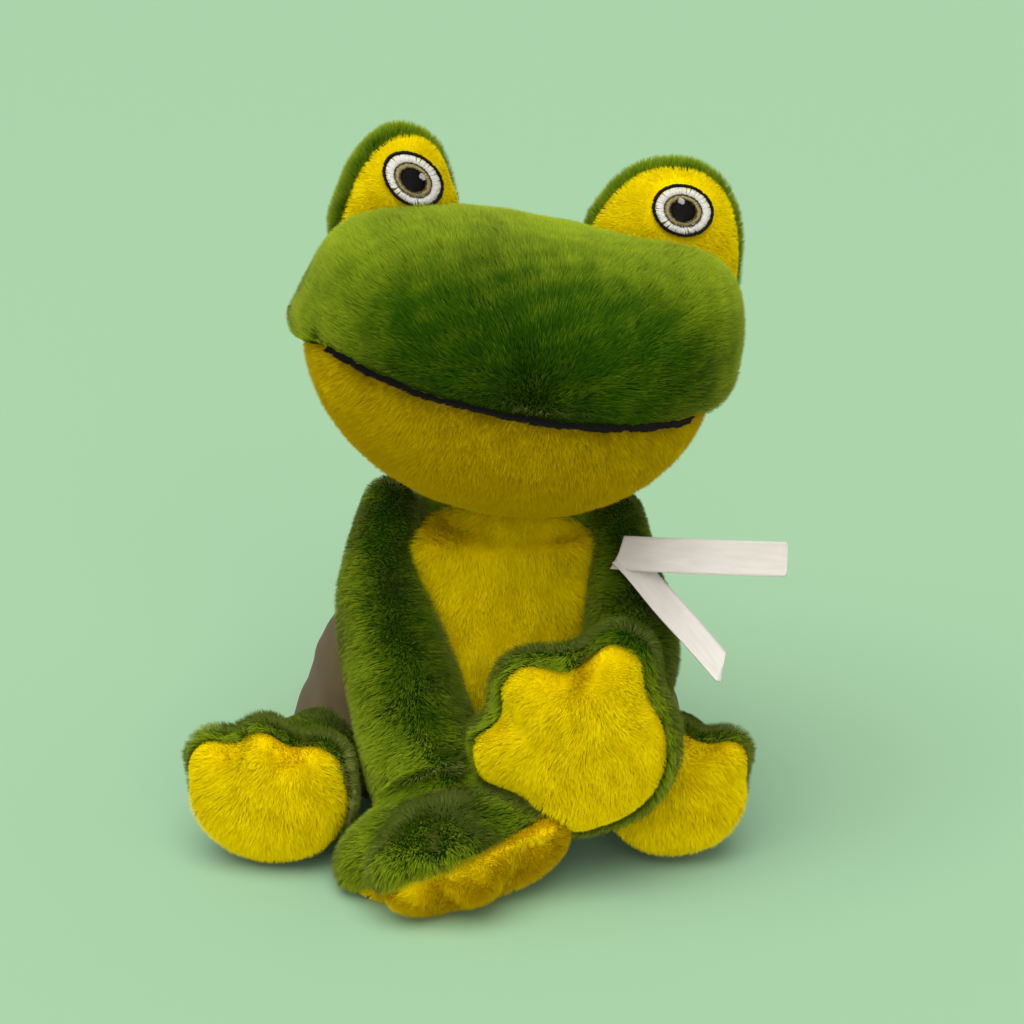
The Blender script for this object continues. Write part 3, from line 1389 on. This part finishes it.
def make_neck_thread():
    """Two turns of twisted thread drawn tight round the neck."""
    turns = 2
    steps = 160 * turns
    turn = np.arange(steps) / steps * 2 * math.pi * turns
    radius = math.sqrt((NECK_SKIN - PILE_ROOM + THREAD_OUT) ** 2 - THREAD_RISE**2)
    height = NECK[2] + THREAD_RISE + (turn / (2 * math.pi * turns) - 0.5) * THREAD_PITCH
    path = np.stack([NECK[0] + radius * np.cos(turn), NECK[1] + radius * np.sin(turn), height], 1)
    out = unit(path - NECK * (1, 1, 0) - np.outer(height, UP))
    around = np.arange(8) / 8 * 2 * math.pi
    thick = THREAD_RADIUS * (0.9 + 0.1 * np.cos(2 * around))
    rings = []
    for i in range(steps):
        spin = around + i * 0.35
        rings.append(path[i] + np.outer(np.cos(spin) * thick, out[i]) + np.outer(np.sin(spin) * thick, UP))
    thing = new_object("neck_closing_thread", *ringed(rings, path[0], path[-1]))
    finished(thing, "neck", GREEN_THREAD, "closing_thread", "neck_thread")


# Label
def label_material():
    """Woven satin ribbon with fine ribs across."""
    made, tree, shader = material("label ribbon", Roughness=0.5, Sheen_Weight=0.2)
    place = bake_place(tree)
    ribs = node(tree, "ShaderNodeTexWave", Scale=60.0, Distortion=0.6)
    ribs.bands_direction = "Y"
    tree.links.new(place, ribs.inputs["Vector"])
    toned(tree, shader, noise(tree, place, 5.0, 3.0), [(0.25, RIBBON_DARK), (0.75, RIBBON_LIGHT)])
    bumped(tree, shader, ribs.outputs["Fac"], 0.35, 0.0001)
    return made


def leaf_middle(route, across, slant, length):
    """Rows of places over a leaf's middle surface, and the outward direction at each."""
    spread = np.linspace(-1, 1, LEAF_COLUMNS)
    first = slant[0] * spread * LABEL_WIDTH / 2 / length
    last = 1 + slant[1] * spread * LABEL_WIDTH / 2 / length
    shares = first + (last - first) * np.linspace(0, 1, LEAF_ROWS)[:, None]
    at = np.clip(shares, 0, 1)
    flat = at.ravel()
    beyond = ((shares - at) * length).ravel()
    along = unit(catmull(route, np.clip(flat + 0.01, 0, 1)) - catmull(route, np.clip(flat - 0.01, 0, 1)))
    path = catmull(route, flat) + along * beyond[:, None]
    start, end = np.array(across, float)
    turned = start * (1 - flat)[:, None] + end * flat[:, None]
    wide = unit(turned - along * dot(along, turned))
    out = unit(np.cross(along, wide))
    left = np.clip((last - shares) * length, 0, LEAF_CORNER)
    rounded = np.sqrt(np.maximum(LEAF_CORNER**2 - (LEAF_CORNER - left) ** 2, 0.0))
    aside = (LABEL_WIDTH / 2 - LEAF_CORNER + rounded) * spread[None]
    sway = LEAF_CURL * (0.4 * np.sin(at * 5) + 0.35 * spread[None] ** 2)
    return path + wide * aside.ravel()[:, None] + out * sway.ravel()[:, None], out


def double_sheet(rows, columns):
    """Triangles of a closed thin sheet, whose upper points come row by row and before its lower ones."""
    count = rows * columns
    index = np.arange(count).reshape(rows, columns)
    quads = (index[:-1, :-1], index[:-1, 1:], index[1:, 1:], index[1:, :-1])
    a, b, c, d = (corner.ravel() for corner in quads)
    faces = np.concatenate([np.stack([a, d, c], 1), np.stack([a, c, b], 1)])
    border = np.concatenate([index[0, :], index[1:, -1], index[-1, -2::-1], index[-2:0:-1, 0]])
    after = np.roll(border, -1)
    near_sides = np.stack([border, after, after + count], 1)
    far_sides = np.stack([border, after + count, border + count], 1)
    return np.concatenate([faces, faces[:, ::-1] + count, near_sides, far_sides])


def leaf(name, route, across, node_name, finish, slant):
    """One leaf of the ribbon: a thin sheet with woven edges, which may be cut or folded at a slant."""
    fine = catmull(route, np.linspace(0, 1, 200))
    length = np.linalg.norm(np.diff(fine, axis=0), axis=1).sum()
    middle, out = leaf_middle(route, across, slant, length)
    spread = np.linspace(-1, 1, LEAF_COLUMNS)
    edge = 0.12 * np.exp(-(((1 - np.abs(spread)) * LABEL_WIDTH / 2) ** 2) / 0.5)
    thick = np.tile(0.16 + edge, LEAF_ROWS)[:, None]
    rows = np.linspace(0, 1, LEAF_ROWS)[:, None]
    uv = np.stack(np.broadcast_arrays(rows, (spread[None] + 1) / 2), -1).reshape(-1, 2)
    points = np.concatenate([middle + out * thick, middle - out * thick])
    thing = new_object(name, points, double_sheet(LEAF_ROWS, LEAF_COLUMNS), np.concatenate([uv, uv]))
    finished(thing, "label", finish, "label_ribbon", node_name)


# Stage
def make_stage():
    """A wide plain floor. Only the camera sees it green: its bounce light is neutral."""
    made, tree, shader = material("floor", Roughness=0.9, Specular_IOR_Level=0.0)
    patches = node(tree, "ShaderNodeTexNoise", Scale=3.0)
    seen = ramp(tree, [(0.3, tuple(0.99 * c for c in FLOOR_SEEN)), (0.7, FLOOR_SEEN)])
    tree.links.new(patches.outputs["Fac"], seen.inputs["Fac"])
    bounced = ramp(tree, [(0.3, FLOOR_BOUNCED), (0.7, FLOOR_BOUNCED)])
    by_camera = tree.nodes.new("ShaderNodeLightPath").outputs["Is Camera Ray"]
    colour = mixed(tree, by_camera, bounced.outputs["Color"], seen.outputs["Color"])
    tree.links.new(colour, shader.inputs["Base Color"])
    corners = [(-1, -1, 0), (1, -1, 0), (1, 1, 0), (-1, 1, 0)]
    stage = new_object("floor", np.array(corners) * FLOOR_REACH, [(0, 1, 2), (0, 2, 3)])
    stage.data.materials.append(made)


def lamp(name, kind, place, target, power, size):
    data = bpy.data.lights.new(name, kind)
    data.energy = power
    if kind == "SUN":
        data.angle = math.radians(size)
    else:
        data.shape = "DISK"
        data.size = size
    thing = placed(name, data)
    thing.location = place
    thing.rotation_euler = (Vector(target) - Vector(place)).to_track_quat("-Z", "Y").to_euler()


def make_lights():
    lamp("sky_light", "SUN", (-0.2, -0.5, 1.5), (0, 0, 0.1), 2.4, 60)
    lamp("front_light", "SUN", (0.2, -1.3, 0.7), (0, 0, 0.1), 0.75, 40)
    lamp("softbox_left", "AREA", (-1.3, -0.7, 0.9), (0, 0, 0.12), 2, 0.9)
    world = bpy.data.worlds.new("studio")
    bpy.context.scene.world = world
    world.use_nodes = True
    tree = world.node_tree
    light = tree.nodes["Background"]
    light.inputs["Color"].default_value = (*DAYLIGHT, 1)
    light.inputs["Strength"].default_value = 0.45
    seen = node(tree, "ShaderNodeBackground", Color=(*FLOOR_LIT, 1), Strength=1.0)
    rays = tree.nodes.new("ShaderNodeLightPath")
    both = tree.nodes.new("ShaderNodeMixShader")
    tree.links.new(rays.outputs["Is Camera Ray"], both.inputs[0])
    tree.links.new(light.outputs["Background"], both.inputs[1])
    tree.links.new(seen.outputs["Background"], both.inputs[2])
    tree.links.new(both.outputs["Shader"], tree.nodes["World Output"].inputs["Surface"])


def make_camera():
    elevation = math.radians(VIEW_ELEVATION)
    distance = VIEW_DISTANCE * MM
    target = Vector((0, 0, VIEW_TARGET * MM))
    data = bpy.data.cameras.new("camera")
    data.sensor_width = 36
    data.lens = 83.7
    camera = placed("camera", data)
    camera.location = target + Vector((0, -math.cos(elevation), math.sin(elevation))) * distance
    camera.rotation_euler = (math.pi / 2 - elevation, 0, 0)
    bpy.context.scene.camera = camera


make_camera()
make_stage()
make_lights()
make_head()
for lobe_name, lobe_side in (("right", -1), ("left", 1)):
    make_lobe(lobe_name, lobe_side)
    make_eye(lobe_name, lobe_side)
make_mouth()
torso_skin = make_torso()
make_limbs(torso_skin)
make_insides()
make_neck_thread()
ribbon = label_material()
leaf("label_upper", UPPER_LEAF, UPPER_LEAF_ACROSS, "label_upper_leaf", ribbon, UPPER_LEAF_SLANT)
leaf("label_lower", LOWER_LEAF, LOWER_LEAF_ACROSS, "label_lower_leaf", ribbon, LOWER_LEAF_SLANT)

bpy.context.scene.view_settings.view_transform = "Standard"
